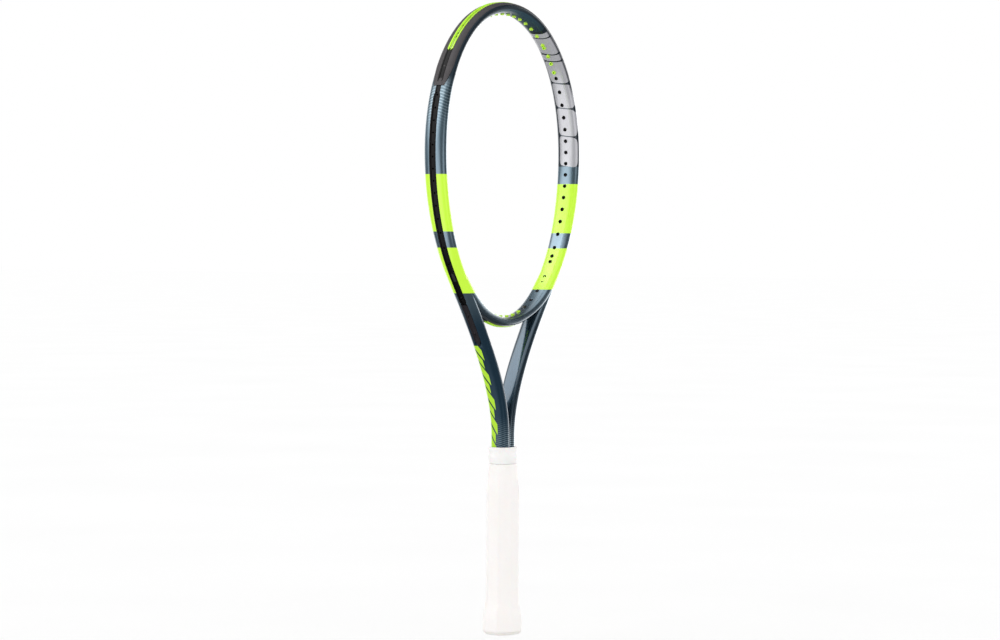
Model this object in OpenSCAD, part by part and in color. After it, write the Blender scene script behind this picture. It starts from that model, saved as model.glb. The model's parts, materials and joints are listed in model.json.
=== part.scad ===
// Tennis racket without strings. +X is across the string bed, +Y is the back of the racket,
// +Z points from the butt to the tip. The origin is the centre of the butt's end face.

/* [Hoop] */
// Overall length, butt face to tip
racket_len = 685.8; // [684:0.1:688]
// Height of the widest point of the hoop
hoop_mid_z = 521.3; // [519:0.1:523]
// Half width of the hoop, at the middle of its tube
hoop_half_w = 128.6; // [127:0.1:130]
// Drop from the widest point to the bottom of the hoop's ellipse, at the middle of the tube
hoop_drop = 182.9; // [181:0.1:184.5]
// Exponent of the hoop's upper outline, 2 for a true ellipse
hoop_power = 2.06; // [2:0.01:2.12]

/* [Frame tube] */
// Half width of the tube in the plane of the strings
tube_half_w = 6; // [5.8:0.1:6.2]
// Half depth of the tube at the tip
tip_half_d = 11.7; // [11:0.1:12.5]
// Half depth of the tube at the widest point of the hoop
mid_half_d = 13.3; // [12.5:0.1:14]
// Half depth of the tube in the throat
throat_half_d = 10.6; // [10:0.1:11]
// Half depth of the two shafts above and inside the handle
shaft_half_d = 10; // [9.5:0.1:10.2]
// Wall thickness of the tube
wall = 1.4; // [1.2:0.1:1.6]
// Depth of the string groove in the outer face
groove_depth = 1.8; // [1.5:0.1:2]
// Half width of the string groove
groove_half_w = 3; // [2.8:0.1:3.2]

/* [Throat] */
// Half distance between the two shafts' centrelines at the handle
leg_x = 6.1; // [6.1:0.1:6.2]
// Height at which the shafts start to part
fork_z = 215; // [213:1:217]
// Height at which the shafts meet the hoop's ellipse
join_z = 404; // [400:1:408]
// Pull of the shaft's curve at its lower end
fork_pull = 69; // [66:1:72]
// Pull of the shaft's curve at its upper end
join_pull = 48; // [44:1:52]
// Half width of the bridge in the plane of the strings
bridge_half_w = 5.2; // [5:0.1:5.5]
// Half depth of the bridge
bridge_half_d = 10; // [9.5:0.1:10.4]

/* [Strings] */
// Distance between the two middle main strings at the tip
main_pitch = 11.5; // [11:0.1:12]
// Distance between neighbouring cross strings at the middle of the bed
cross_pitch = 12.5; // [12.3:0.1:12.6]
// Height of the middle cross string
cross_mid_z = 514; // [512:0.5:516]
// Growth of the cross spacing with the cube of the string's number
cross_spread = 0.0192; // [0.018:0.0002:0.02]
// Radius of the bore that a string runs through
string_bore_r = 1.1; // [1:0.05:1.2]
// Outer radius of a grommet barrel
barrel_r = 2; // [1.9:0.05:2.05]
// Radius of a string hole in the frame
frame_hole_r = 2.35; // [2.3:0.05:2.5]

/* [Handle] */
// Height of the top edge of the collar
collar_top_z = 203.3; // [203:0.1:204]
// Height of the bottom edge of the collar
collar_low_z = 185.4; // [185:0.1:186]
// Half width of the octagonal core in the middle of the handle
core_half_w = 15.8; // [15.6:0.1:15.9]
// Thickness of the wrapped grip
grip_t = 1.9; // [1.8:0.1:2]
// Radius of the opening in the butt cap that the trap door plugs
door_r = 9.4; // [9:0.1:9.6]

/* [Hidden] */

gap = 0.2;                     // clearance between fitted pieces
bumper_t = 1.3;                // thickness of the bumper's flanks
leg_low_z = 12;                // lower ends of the two shafts inside the handle
hoop_rise = racket_len - tube_half_w - hoop_mid_z;
join_angle = asin((hoop_mid_z - join_z) / hoop_drop);
join_x = hoop_half_w * cos(join_angle);
bumper_full_z = 613;           // below this height the bumper narrows to a tongue
bumper_end_z = 585;            // end of the bumper's tongue
bumper_slot_w = 2.3;           // half width of the groove in the bumper
throat_groove_w = 2.4;         // half width of the groove under the bridge
strip_change_z = 610;          // height on the inner face where head and side strips meet
groove_end_z = 316;            // lower end of the string groove
insert_groove_w = groove_half_w + 1;   // half width of the groove where it holds the shaft's insert
insert_top_z = 358;            // above this height the groove narrows
legs_steps = 4;                // stations of each stretch of the tube's path
throat_steps = 16;
low_steps = 9;
top_steps = 20;

// ---- small functions ----

function smooth(t) = let (c = min(1, max(0, t))) c * c * (3 - 2 * c);
function mix(a, b, t) = a + (b - a) * t;
function unit(v) = v / norm(v);
function side(v) = v < 0 ? -1 : 1;

// Points on a superellipse with half axes w and d
function super_pt(a, w, d, m) = [
    w * side(cos(a)) * pow(abs(cos(a)), 2 / m),
    d * side(sin(a)) * pow(abs(sin(a)), 2 / m)
];

// ---- path of the frame tube ----
// q runs 0..1 up the right shaft, 1..2 through the throat, 2..3 up the lower ellipse,
// 3..4 over the upper outline to the tip, and 4..8 down the left side again.

function bezier(a, b, c, d, t) =
    pow(1 - t, 3) * a + 3 * t * pow(1 - t, 2) * b + 3 * t * t * (1 - t) * c + pow(t, 3) * d;

join_dir = unit([
    hoop_half_w * sin(join_angle),
    hoop_drop * cos(join_angle)
]);

function right_path(q) =
    q < 1 ? [leg_x, mix(leg_low_z, fork_z, q)]
    : q < 2 ? bezier(
        [leg_x, fork_z],
        [leg_x, fork_z + fork_pull],
        [join_x, join_z] - join_pull * join_dir,
        [join_x, join_z],
        q - 1)
    : q < 3 ? let (a = join_angle * (3 - q))
        [hoop_half_w * cos(a), hoop_mid_z - hoop_drop * sin(a)]
    : let (a = 90 * (q - 3))
        [hoop_half_w * pow(cos(a), 2 / hoop_power),
         hoop_mid_z + hoop_rise * pow(sin(a), 2 / hoop_power)];

function path(q) = q <= 4 ? right_path(q) : let (p = right_path(8 - q)) [-p[0], p[1]];

// Unit vector in the plane of the strings that points out of the hoop
function outward(q) = let (t = unit(path(q + 0.01) - path(q - 0.01))) [t[1], -t[0]];

function half_depth(z) =
    z < join_z ? shaft_half_d + (throat_half_d - shaft_half_d) * smooth((z - fork_z) / 90)
        + (mid_half_d - throat_half_d) * smooth((z - 310) / (hoop_mid_z - 310))
    : z < hoop_mid_z ? mix(throat_half_d, mid_half_d, smooth((z - 310) / (hoop_mid_z - 310)))
    : mix(mid_half_d, tip_half_d, smooth((z - hoop_mid_z) / hoop_rise));

function bumper_recess(z) = bumper_t * smooth((z - bumper_end_z) / 14);
function groove_at(z) = groove_depth * smooth((z - groove_end_z) / 3);
// The groove widens where it holds the insert on the shaft
function groove_w_at(z) = mix(insert_groove_w, groove_half_w, smooth((z - insert_top_z) / 8));

// One cross-section of the frame, u out of the hoop and v through its depth, with the string groove
function frame_section(w_out, w_in, half_d, m_out, m_in, groove_w, groove) = let (
    surface = w_out * pow(1 - pow(groove_w / half_d, m_out), 1 / m_out)
) [
    for (a = [-90:15:-30]) super_pt(a, w_out, half_d, m_out),
    [surface, -groove_w],
    [surface - groove, -groove_w],
    [surface - groove, groove_w],
    [surface, groove_w],
    for (a = [30:15:90]) super_pt(a, w_out, half_d, m_out),
    for (a = [120:30:240]) super_pt(a, w_in, half_d, m_in)
];

// Places a flat section on the path
function placed(q, section, at = undef) = let (
    p = is_undef(at) ? path(q) : at[0],
    n = is_undef(at) ? outward(q) : at[1]
) [for (s = section) [p[0] + s[0] * n[0], s[1], p[1] + s[0] * n[1]]];

half_stations = [
    for (i = [0:legs_steps - 1]) i / legs_steps,
    for (i = [0:throat_steps - 1]) 1 + i / throat_steps,
    for (i = [0:low_steps - 1]) 2 + i / low_steps,
    for (i = [0:top_steps - 1]) 3 + i / top_steps
];
stations = [
    for (q = half_stations) q,
    4,
    for (i = [len(half_stations) - 1:-1:0]) 8 - half_stations[i]
];
function between(q0, q1) = [q0, for (q = stations) if (q > q0 + 0.02 && q < q1 - 0.02) q, q1];

// Inner side of a shaft is flatter where the two shafts lie against each other
function inner_power(z) = mix(5, 2.4, smooth((z - fork_z) / 60));

function tube_ring(q, grow) = let (z = path(q)[1]) placed(q, frame_section(
    tube_half_w - bumper_recess(z) + grow, tube_half_w + grow, half_depth(z) + grow,
    2.4, inner_power(z), groove_w_at(z), groove_at(z)));

function hollow_ring(q) = let (
    z = path(q)[1],
    out = tube_half_w - bumper_recess(z) - groove_at(z) - wall,
    in = tube_half_w - wall
) placed(q, [for (a = [0:30:330])
    super_pt(a, cos(a) > 0 ? out : in, half_depth(z) - wall, cos(a) > 0 ? 2.4 : inner_power(z))]);

// ---- string holes ----
// A hole is [point on the inner face, direction into the bed, length out to the strip].

function inner_pt(q) = path(q) - tube_half_w * outward(q);

// Finds q between lo and hi where the inner face passes a height (axis 1) or a half width (axis 0)
function q_at(value, axis, lo, hi, n = 24) = let (m = (lo + hi) / 2, f = inner_pt(m)[axis])
    n == 0 ? m
    : (f < value) == (inner_pt(hi)[axis] > inner_pt(lo)[axis])
        ? q_at(value, axis, m, hi, n - 1)
        : q_at(value, axis, lo, m, n - 1);

function turned(v, a) = [v[0] * cos(a) - v[1] * sin(a), v[0] * sin(a) + v[1] * cos(a)];

// Inward direction, leaning from the tube's normal toward the string by at most limit degrees
function leaned(q, string, limit) = let (
    n = -outward(q),
    a = atan2(n[0] * string[1] - n[1] * string[0], n * string)
) turned(n, min(limit, max(-limit, a)));

function hole(q, string, limit) = let (d = leaned(q, string, limit))
    [inner_pt(q), d, (2 * tube_half_w - 1) / (-outward(q) * d)];

tip_x = [for (k = [0:7]) main_pitch * (k + 0.5) - (k > 5 ? 0.4 * (k - 5) : 0.12 * k)];
function cross_z(i) = cross_mid_z + cross_pitch * i + cross_spread * pow(i, 3);

tip_holes = [for (x = tip_x) hole(q_at(x, 0, 3.01, 4), [0, -1], 20)];
tie_holes = [hole(q_at(cross_z(7) + 6.5, 1, 3, 3.9), [-1, 0], 10)];
function cross_holes(i0, i1) = [for (i = [i0:i1]) hole(q_at(cross_z(i), 1, 1.6, 3.95), [-1, 0], 20)];
high_holes = concat(tip_holes, tie_holes, cross_holes(8, 9));
side_holes = concat(cross_holes(-9, 7), [hole(q_at(95.5, 0, 2, 3), [0, 1], 20)],
    [hole(q_at(77, 0, 1.4, 2.6), [0, 1], 50)]);
throat_x = [for (k = [0:3]) main_pitch * (k + 0.5)];
shaft_x = [53.5, 66];          // outer main strings that leave through the shafts

// The bridge follows the same ellipse as the hoop
bridge_w = hoop_half_w - tube_half_w + bridge_half_w;
bridge_drop = hoop_drop - tube_half_w + bridge_half_w;
function bridge_pt(a) = [bridge_w * sin(a), hoop_mid_z - bridge_drop * cos(a)];
function bridge_out(a) = unit([bridge_drop * sin(a), -bridge_w * cos(a)]);
function bed_floor(x) = hoop_mid_z
    - (bridge_drop - bridge_half_w) * sqrt(1 - pow(x / (bridge_w - bridge_half_w), 2));

throat_holes = [for (x = throat_x) [[x, bed_floor(x)], [0, 1], 2 * bridge_half_w - 0.6]];
// Long upright holes from the bed, through the joint of bridge and shaft, to the shaft's outer face
function shaft_outer_z(x) = let (q = q_at_outer(x, 1.2, 2.2)) (path(q) + tube_half_w * outward(q))[1];
function q_at_outer(x, lo, hi, n = 24) = let (m = (lo + hi) / 2)
    n == 0 ? m
    : (path(m) + tube_half_w * outward(m))[0] < x
        ? q_at_outer(x, m, hi, n - 1)
        : q_at_outer(x, lo, m, n - 1);
shaft_holes = [for (x = shaft_x) [[x, bed_floor(x)], [0, 1], bed_floor(x) - shaft_outer_z(x) - 1.5]];

function mirrored(holes) = [for (h = holes) [[-h[0][0], h[0][1]], [-h[1][0], h[1][1]], h[2]]];
function both(holes) = concat(holes, mirrored(holes));

// A rod along a hole, reaching past its inner end by out_in and past its outer end by out_out
module rod(h, r, out_in, out_out, faces = 32) {
    start = h[0] - h[1] * (h[2] + out_out);
    translate([start[0], 0, start[1]])
        rotate([0, atan2(h[1][0], h[1][1]), 0])
        cylinder(h = h[2] + out_out + out_in, r = r, $fn = faces);
}

module frame_holes(holes) {
    for (h = holes) rod(h, frame_hole_r, 6, 6, 6);
}

// ---- solid builders ----

// Makes OpenSCAD hand over one closed mesh for everything inside
module as_mesh() {
    resize([0, 0, 0]) children();
}

// Closed solid through a list of rings; a banded ring is an outer and an inner run of equal length
module sweep(rings, banded = false) {
    n = len(rings[0]);
    last = len(rings) - 1;
    half = n / 2;
    cap = banded
        ? [for (i = [0:half - 2]) for (t = [[i, i + 1, n - 1 - i], [i + 1, n - 2 - i, n - 1 - i]]) t]
        : [for (i = [1:n - 2]) [0, i, i + 1]];
    polyhedron(
        points = [for (r = rings) for (p = r) p],
        faces = concat(
            [for (k = [0:last - 1]) for (i = [0:n - 1]) let (
                a = k * n + i,
                b = k * n + (i + 1) % n
            ) for (t = [[a, b, b + n], [a, b + n, a + n]]) t],
            cap,
            [for (t = cap) [last * n + t[2], last * n + t[1], last * n + t[0]]]
        ),
        convexity = 6
    );
}

// Flat strip that follows the path between two offsets from it
module strip(qs, u0, u1, half_w) {
    outer = [for (q = qs) path(q) + u1 * outward(q)];
    inner = [for (i = [len(qs) - 1:-1:0]) path(qs[i]) + u0 * outward(qs[i])];
    rotate([90, 0, 0])
        linear_extrude(height = 2 * half_w, center = true)
        polygon(concat(outer, inner));
}

// Lofted solid of the handle. Each station is [z, half width, half depth, power],
// and power 0 is a rounded octagon.
function handle_ring(s) = [for (a = [0:15:345]) let (
    r = s[3] > 0 ? pow(pow(abs(cos(a)), s[3]) + pow(abs(sin(a)), s[3]), -1 / s[3])
        : a % 45 == 0 ? 1 : 1 / cos(15)
) [s[1] * r * cos(a), s[2] * r * sin(a), s[0]]];

module loft(stations_list) {
    rings = [for (s = stations_list) handle_ring(s)];
    n = len(rings[0]);
    last = len(rings) - 1;
    polyhedron(
        points = [for (r = rings) for (p = r) p],
        faces = concat(
            [for (k = [0:last - 1]) for (i = [0:n - 1]) let (
                a = k * n + i,
                b = k * n + (i + 1) % n
            ) for (t = [[a, b + n, b], [a, a + n, b + n]]) t],
            [for (i = [1:n - 2]) [0, i, i + 1]],
            [for (i = [1:n - 2]) [last * n + i + 1, last * n + i, last * n]]
        )
    );
}

function grown(list, g) = [for (s = list) [s[0], s[1] + g, s[2] + g, s[3]]];
function stretched(list, g) = [for (i = [0:len(list) - 1])
    i == 0 ? [list[i][0] - g, list[i][1], list[i][2], list[i][3]]
    : i == len(list) - 1 ? [list[i][0] + g, list[i][1], list[i][2], list[i][3]]
    : list[i]];

// ---- frame ----

module tube_solid(qs, grow = 0) {
    sweep([for (q = qs) tube_ring(q, grow)]);
}

module frame_tube() {
    color("darkslategray") as_mesh() difference() {
        tube_solid(stations);
        sweep([for (q = concat([-0.02], stations, [8.02])) hollow_ring(q)]);
        frame_holes(both(concat(high_holes, side_holes, shaft_holes)));
    }
}

module throat_bridge() {
    span = 36;                 // angle at which the bridge has merged into the shafts
    color("slategray") as_mesh() difference() {
        sweep([for (a = [-span:4:span]) placed(0, frame_section(bridge_half_w, bridge_half_w,
            bridge_half_d, 2.8, 2.8, throat_groove_w, groove_depth * smooth((28 - abs(a)) / 4)),
            [bridge_pt(a), bridge_out(a)])]);
        tube_solid(between(1.2, 2.6), 0.1);
        tube_solid(between(5.4, 6.8), 0.1);
        frame_holes(both(concat(throat_holes, shaft_holes)));
    }
}

// ---- guards and grommets ----

bumper_q = q_at(bumper_end_z, 1, 3, 3.9);
change_q = q_at(strip_change_z, 1, 3, 3.9);

// One face of the bumper's section at offset w, from flank to flank over the floor of its groove
function bumper_run(z, w, spread, floor_u, slot_w) = let (
    d = half_depth(z) + 0.05,
    surface = w * pow(1 - pow(slot_w / d, 2.4), 1 / 2.4)
) [
    for (k = [0:3]) super_pt(-mix(spread, 24, k / 3), w, d, 2.4),
    [surface, -slot_w],
    [floor_u, -slot_w],
    [floor_u, slot_w],
    [surface, slot_w],
    for (k = [3:-1:0]) super_pt(mix(spread, 24, k / 3), w, d, 2.4)
];

function bumper_ring(q) = let (
    z = path(q)[1],
    spread = mix(25, 58, smooth((z - bumper_end_z + 2) / (bumper_full_z - bumper_end_z))),
    bed = tube_half_w - bumper_recess(z),
    floor_u = bed - groove_depth + 0.1,
    outer = bumper_run(z, max(tube_half_w, bed + 0.5), spread, floor_u + 0.5, bumper_slot_w),
    inner = bumper_run(z, bed + 0.15, spread, floor_u, groove_half_w - 0.15)
) placed(q, concat(outer, [for (i = [len(inner) - 1:-1:0]) inner[i]]));

module head_bumper() {
    color("dimgray") as_mesh() difference() {
        sweep([for (q = between(bumper_q, 8 - bumper_q)) bumper_ring(q)], banded = true);
        frame_holes(both(concat(high_holes, cross_holes(6, 7))));
    }
}

// Strip base with a barrel at each hole, and a true bore through each
module grommets(holes) {
    difference() {
        union() {
            children();
            for (h = holes) rod(h, barrel_r, 1.2, 0);
        }
        for (h = holes) rod(h, string_bore_r, 3, 4);
    }
}

strip_u = tube_half_w - groove_depth + gap;
slot_strip_w = bumper_slot_w - gap;

module head_grommet_strip() {
    head_q = between(change_q + 0.01, 7.99 - change_q);
    color("yellowgreen") grommets(both(high_holes)) {
        strip(head_q, tube_half_w - bumper_t - 1, tube_half_w - 0.3, slot_strip_w);
    }
}

module side_grommet_strip() {
    low_q = q_at_outer(78, 1.3, 2.4);
    grommets(side_holes) {
        strip(between(low_q, bumper_q - 0.03), strip_u, tube_half_w, groove_half_w - gap);
        strip(between(low_q, change_q - 0.01), tube_half_w - 1, tube_half_w + 0.3, 1.6);
    }
}

module side_grommet_strip_right() {
    color("black") side_grommet_strip();
}

module side_grommet_strip_left() {
    color("black") mirror([1, 0, 0]) side_grommet_strip();
}

module shaft_insert() {
    low_q = q_at_outer(47, 1.2, 2.2);
    high_q = q_at_outer(71.5, 1.2, 2.2);
    grommets(shaft_holes) {
        strip(between(low_q, high_q), strip_u, tube_half_w - 0.1, insert_groove_w - gap);
    }
}

module shaft_insert_right() {
    color("darkslategray") shaft_insert();
}

module shaft_insert_left() {
    color("darkslategray") mirror([1, 0, 0]) shaft_insert();
}

module throat_grommet_strip() {
    angles = [for (a = [-21:3:21]) a];
    outer = [for (a = angles) bridge_pt(a) + (bridge_half_w + 0.9) * bridge_out(a)];
    inner = [for (i = [len(angles) - 1:-1:0])
        bridge_pt(angles[i]) + (bridge_half_w - groove_depth + gap) * bridge_out(angles[i])];
    color("yellowgreen") grommets(both(throat_holes)) {
        rotate([90, 0, 0])
            linear_extrude(height = 2 * (throat_groove_w - gap), center = true)
            polygon(concat(outer, inner));
    }
}

// ---- handle ----

depth_ratio = 0.925;           // depth of the handle's octagon over its width
grip_half_w = core_half_w + 0.15 + grip_t;

core_profile = [
    [10, core_half_w, core_half_w * depth_ratio, 0],
    [156, core_half_w + 0.1, (core_half_w + 0.1) * depth_ratio, 0],
    [167, 15.05, 13.95, 0],
    [174, 14.3, 12.3, 2.6],
    [184.5, 13.9, 11.2, 2.6],
    [193, 13.8, 11.1, 2.6]
];
grip_inner = [
    [5.3, 19.6, 18.15, 0],
    [21, 19.6, 18.15, 0],
    [27, 17.7, 16.4, 0],
    [35, core_half_w + 0.2, (core_half_w + 0.2) * depth_ratio, 0],
    [156, core_half_w + 0.25, (core_half_w + 0.25) * depth_ratio, 0],
    [167, 15.2, 14.1, 0],
    [174, 14.45, 12.45, 2.6],
    [184.5, 14.05, 11.35, 2.6],
    [192.5, 13.95, 11.25, 2.6]
];
grip_outer = [
    [5.3, 21.4, 19.9, 0],
    [8, 21.6, 20.1, 0],
    [21, 21.6, 20.1, 0],
    [27, 19.6, 18.2, 0],
    [34, grip_half_w + 0.25, (grip_half_w + 0.25) * 0.935, 0],
    [42, grip_half_w - 0.05, (grip_half_w - 0.05) * 0.935, 0],
    [156, grip_half_w + 0.05, (grip_half_w + 0.05) * 0.935, 0],
    [167, 17.1, 16, 0],
    [174, 16.3, 14.2, 2.6],
    [184.5, 15.9, 13.2, 2.6],
    [185.1, 14.6, 11.8, 2.6],
    [192.5, 14.4, 11.6, 2.6]
];
cap_outer = [
    [0, 19.7, 18.3, 0],
    [0.8, 20.9, 19.4, 0],
    [2.4, 21.5, 20, 0],
    [5, 21.5, 20, 0],
    [5.05, 19.45, 18, 0],
    [21, 19.45, 18, 0],
    [27, 17.55, 16.25, 0],
    [32, 16.4, 15.2, 0]
];
tape_outer = [
    [186, 14.95, 12.15, 2.6],
    [192.7, 14.75, 11.95, 2.6],
    [198, 13.6, 11.35, 2.6]
];
collar_outer = [
    [collar_low_z, 15.8, 12.95, 2.6],
    [189, 15.95, 13.05, 2.6],
    [194, 16.5, 13.5, 2.6],
    [202, 16.6, 13.6, 2.6],
    [collar_top_z, 16.1, 13.1, 2.6]
];
collar_inner = [
    [collar_low_z, 15.15, 12.35, 2.6],
    [193, 15.1, 12.3, 2.6],
    [199.5, 13.8, 11.5, 2.9],
    [collar_top_z, 12.95, 10.95, 3.2]
];

// The staples are U shaped, with their crowns on the front and back of the butt cap
module staples(grow = 0) {
    crown_w = 9;
    leg = 5;
    wire = 0.6;
    face_y = 17.35;
    for (s = [-1, 1]) scale([1, s, 1]) translate([0, face_y, 16]) {
        translate([-crown_w / 2 - grow, -wire - grow, -wire - grow])
            cube([crown_w + 2 * grow, wire + 2 * grow, 2 * wire + 2 * grow]);
        for (x = [-crown_w / 2, crown_w / 2 - wire])
            translate([x - grow, -leg - grow, -wire / 2 - grow])
            cube([wire + 2 * grow, leg + 2 * grow, wire + 2 * grow]);
    }
}

tack_z = 14;                   // height and distance out of the tack's head
tack_x = 18.6;

module tack(grow = 0) {
    translate([tack_x, 0, tack_z]) rotate([0, -90, 0]) {
        cylinder(h = 0.7 + grow, r = 2.2 + grow, $fn = 32);
        cylinder(h = 5 + grow, r = 0.6 + grow, $fn = 32);
    }
}

module handle_core() {
    color("tan") as_mesh() difference() {
        loft(core_profile);
        tube_solid(concat([-0.05], between(0.05, 1)), gap);
        tube_solid(concat(between(7, 7.95), [8.05]), gap);
        staples(0.08);
        tack(0.08);
    }
}

module butt_cap() {
    color("whitesmoke") difference() {
        loft(cap_outer);
        loft([
            [3, core_half_w + 0.15, (core_half_w + 0.15) * depth_ratio, 0],
            [33, core_half_w + 0.15, (core_half_w + 0.15) * depth_ratio, 0]
        ]);
        translate([0, 0, -1]) cylinder(h = 6, r = door_r, $fn = 64);
        translate([0, 0, -1]) cylinder(h = 2.8, r = door_r + 1.8, $fn = 64);
        staples(0.08);
        tack(0.08);
    }
}

module butt_cap_door() {
    color("gainsboro") difference() {
        union() {
            translate([0, 0, 0.2]) cylinder(h = 1.4, r = door_r + 1.6, $fn = 64);
            translate([0, 0, 1.4]) cylinder(h = 6.6, r = door_r - gap, $fn = 64);
        }
        translate([0, 0, 2]) cylinder(h = 8, r = door_r - 1.6, $fn = 64);
        translate([-3, door_r - 0.5, -1]) cube([6, 3, 1.9]);
    }
}

module butt_staples() {
    color("silver") staples();
}

module grip_start_tack() {
    color("silver") tack();
}

module base_grip() {
    color("snow") as_mesh() difference() {
        loft(grip_outer);
        loft(stretched(grip_inner, 1));
    }
}

module finishing_tape() {
    color("white") as_mesh() difference() {
        loft(tape_outer);
        loft(stretched(grown(tape_outer, -0.2), 1));
    }
}

module grip_collar() {
    color("white") as_mesh() difference() {
        loft(collar_outer);
        loft(stretched(collar_inner, 0.5));
    }
}

frame_tube();
throat_bridge();
head_bumper();
head_grommet_strip();
side_grommet_strip_left();
side_grommet_strip_right();
shaft_insert_left();
shaft_insert_right();
throat_grommet_strip();
handle_core();
butt_cap();
butt_cap_door();
butt_staples();
grip_start_tack();
base_grip();
finishing_tape();
grip_collar();
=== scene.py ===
# Tennis racket without strings: the visual model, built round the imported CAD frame.
# Lengths are in metres. +X is across the string bed, +Y is the back, +Z runs from butt to tip.
import json
import math

import bmesh
import bpy
import numpy as np
from mathutils import Matrix, Vector

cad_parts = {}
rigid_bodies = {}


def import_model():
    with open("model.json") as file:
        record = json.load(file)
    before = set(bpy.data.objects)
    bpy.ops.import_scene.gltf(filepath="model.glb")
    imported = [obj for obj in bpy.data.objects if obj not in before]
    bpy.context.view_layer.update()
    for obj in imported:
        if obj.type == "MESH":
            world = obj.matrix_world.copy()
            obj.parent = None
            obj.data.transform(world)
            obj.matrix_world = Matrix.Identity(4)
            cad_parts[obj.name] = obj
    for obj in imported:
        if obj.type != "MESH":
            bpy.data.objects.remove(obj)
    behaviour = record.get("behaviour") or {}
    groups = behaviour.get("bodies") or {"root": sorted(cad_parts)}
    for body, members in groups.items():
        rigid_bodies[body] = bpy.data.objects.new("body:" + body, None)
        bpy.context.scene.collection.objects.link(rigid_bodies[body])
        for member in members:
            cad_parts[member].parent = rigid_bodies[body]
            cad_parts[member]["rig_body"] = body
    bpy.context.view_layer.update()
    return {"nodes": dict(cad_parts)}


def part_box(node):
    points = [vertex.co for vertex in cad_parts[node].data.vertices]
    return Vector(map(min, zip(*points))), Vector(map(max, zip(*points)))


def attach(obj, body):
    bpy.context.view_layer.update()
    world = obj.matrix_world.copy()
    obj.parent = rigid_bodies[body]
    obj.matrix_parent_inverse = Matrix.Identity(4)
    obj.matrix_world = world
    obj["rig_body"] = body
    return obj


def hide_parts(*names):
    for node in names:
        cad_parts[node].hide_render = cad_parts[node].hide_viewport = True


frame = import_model()

MM = 0.001

# ---- sizes of the frame tube, as in the CAD model ----

TUBE_W = 6 * MM               # half width in the plane of the strings
BRIDGE_W = 5.2 * MM
BRIDGE_D = 10 * MM
SHAFT_D = 10 * MM             # half depth of the shafts, throat, widest point and tip
THROAT_D = 10.6 * MM
MID_D = 13.3 * MM
TIP_D = 11.7 * MM
GROOVE_W = 3 * MM             # half width of the string groove
GROOVE_DEEP = 1.8 * MM
BUMPER_T = 1.3 * MM
HOLE_R = 2.15 * MM
BARREL_R = 2 * MM
BORE_R = 1.1 * MM
TUBE_POWER = 2.4              # powers of the superellipses that the sections follow
FLAT_POWER = 5
BRIDGE_POWER = 2.8
OVAL_POWER = 2.6

tube_low, tube_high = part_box("frame_tube")
LEG_LOW_Z = tube_low.z
TIP_Z = tube_high.z
HOOP_W = tube_high.x - TUBE_W   # half width of the hoop's centre line
HOOP_MID_Z = 521.3 * MM
HOOP_DROP = 182.9 * MM
HOOP_RISE = TIP_Z - TUBE_W - HOOP_MID_Z
HOOP_POWER = 2.06
LEG_X = 6.1 * MM
FORK_Z = 215 * MM
THROAT_Z = 310 * MM
JOIN_Z = 404 * MM
FORK_PULL = 69 * MM
JOIN_PULL = 48 * MM
JOIN_ANGLE = math.asin((HOOP_MID_Z - JOIN_Z) / HOOP_DROP)
GROOVE_END_Z = 316 * MM
WIDE_GROOVE_Z = 361 * MM      # below this height the groove is wide enough for the shaft's insert
STRIP_W = 4.2 * MM            # half width of the side strips, which lap over the groove's edges
HEAD_STRIP_W = 3.3 * MM
HEAD_STRIP_END_Z = 627 * MM
BUMPER_FULL_Z = 613 * MM
BUMPER_END_Z = 585 * MM
STRIP_CHANGE_Z = 624 * MM
STRIP_LOW_X = 75.4 * MM       # half widths of the outline where the side strips and inserts end
INSERT_LOW_X = 46.5 * MM
INSERT_HIGH_X = 74.9 * MM
HIDDEN_Z = 190 * MM           # below this height the shafts are inside the handle

BLACK_STAND = 0.9 * MM        # how far the black barrels and the lime ones stand out of the inner face
LIME_STAND = 1.7 * MM
LIME_BARREL_R = 2.1 * MM
BARREL_BASE = 0.3 * MM

STEP = 1.6 * MM               # spacing of the sections where the tube shows
CUT_PAST = 6 * MM             # how far cutting rods reach past the holes' ends
BORE_PAST = 4 * MM
SHAFT_REACH = 30 * MM

MAIN_PITCH = 11.5 * MM
CROSS_PITCH = 12.5 * MM
CROSS_MID_Z = 514 * MM
CROSS_SPREAD = 0.0192 * MM

# ---- heights of the paint's edges ----

LIME_LOW_Z = 372.3 * MM
LIME_HIGH_Z = 493.4 * MM
LIME_GAP_Z = (419.1 * MM, 436 * MM)
PANEL_LOW_Z = 511.4 * MM       # lower end of the row of silver blocks
PANEL_HIGH_Z = 656 * MM
PANEL_BLOCKS = [28 * MM, 26 * MM, 24 * MM, 23 * MM, 7 * MM, 20 * MM, 6 * MM]
PANEL_GAP = 1.4 * MM
SHAFT_PAINT_Z = (330 * MM, 374 * MM)    # the shafts' navy fades out between these heights
HEAD_PAINT_Z = (538 * MM, 586 * MM)     # the head's darker slate fades in between these
RIM_PAINT_Z = (585 * MM, 600 * MM)
TIP_DULL_Z = (650 * MM, 672 * MM)
SHOULDER_Z = (552 * MM, 588 * MM)       # fine stripes on the hoop's shoulders and over the shafts' foot
FOOT_Z = (206 * MM, 240 * MM)
MARKS_Z = (203 * MM, 314 * MM)          # lime bars down the shafts


# ---- small functions ----

def smooth(t):
    t = np.clip(t, 0.0, 1.0)
    return t * t * (3 - 2 * t)


def mix(a, b, t):
    return a + (b - a) * t


def unit(v):
    return v / np.linalg.norm(v, axis=-1, keepdims=True)


def super_points(angles, w, d, power):
    """Points on a superellipse with half axes w and d, at angles in degrees."""
    c = np.cos(np.radians(angles))
    s = np.sin(np.radians(angles))
    return np.stack([
        w * np.sign(c) * np.abs(c) ** (2 / power),
        d * np.sign(s) * np.abs(s) ** (2 / power),
    ], -1)


def super_side(v, w, d, power):
    """Distance out to a superellipse at the offset v through its depth."""
    return w * (1 - min(1.0, abs(v / d)) ** power) ** (1 / power)


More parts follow.
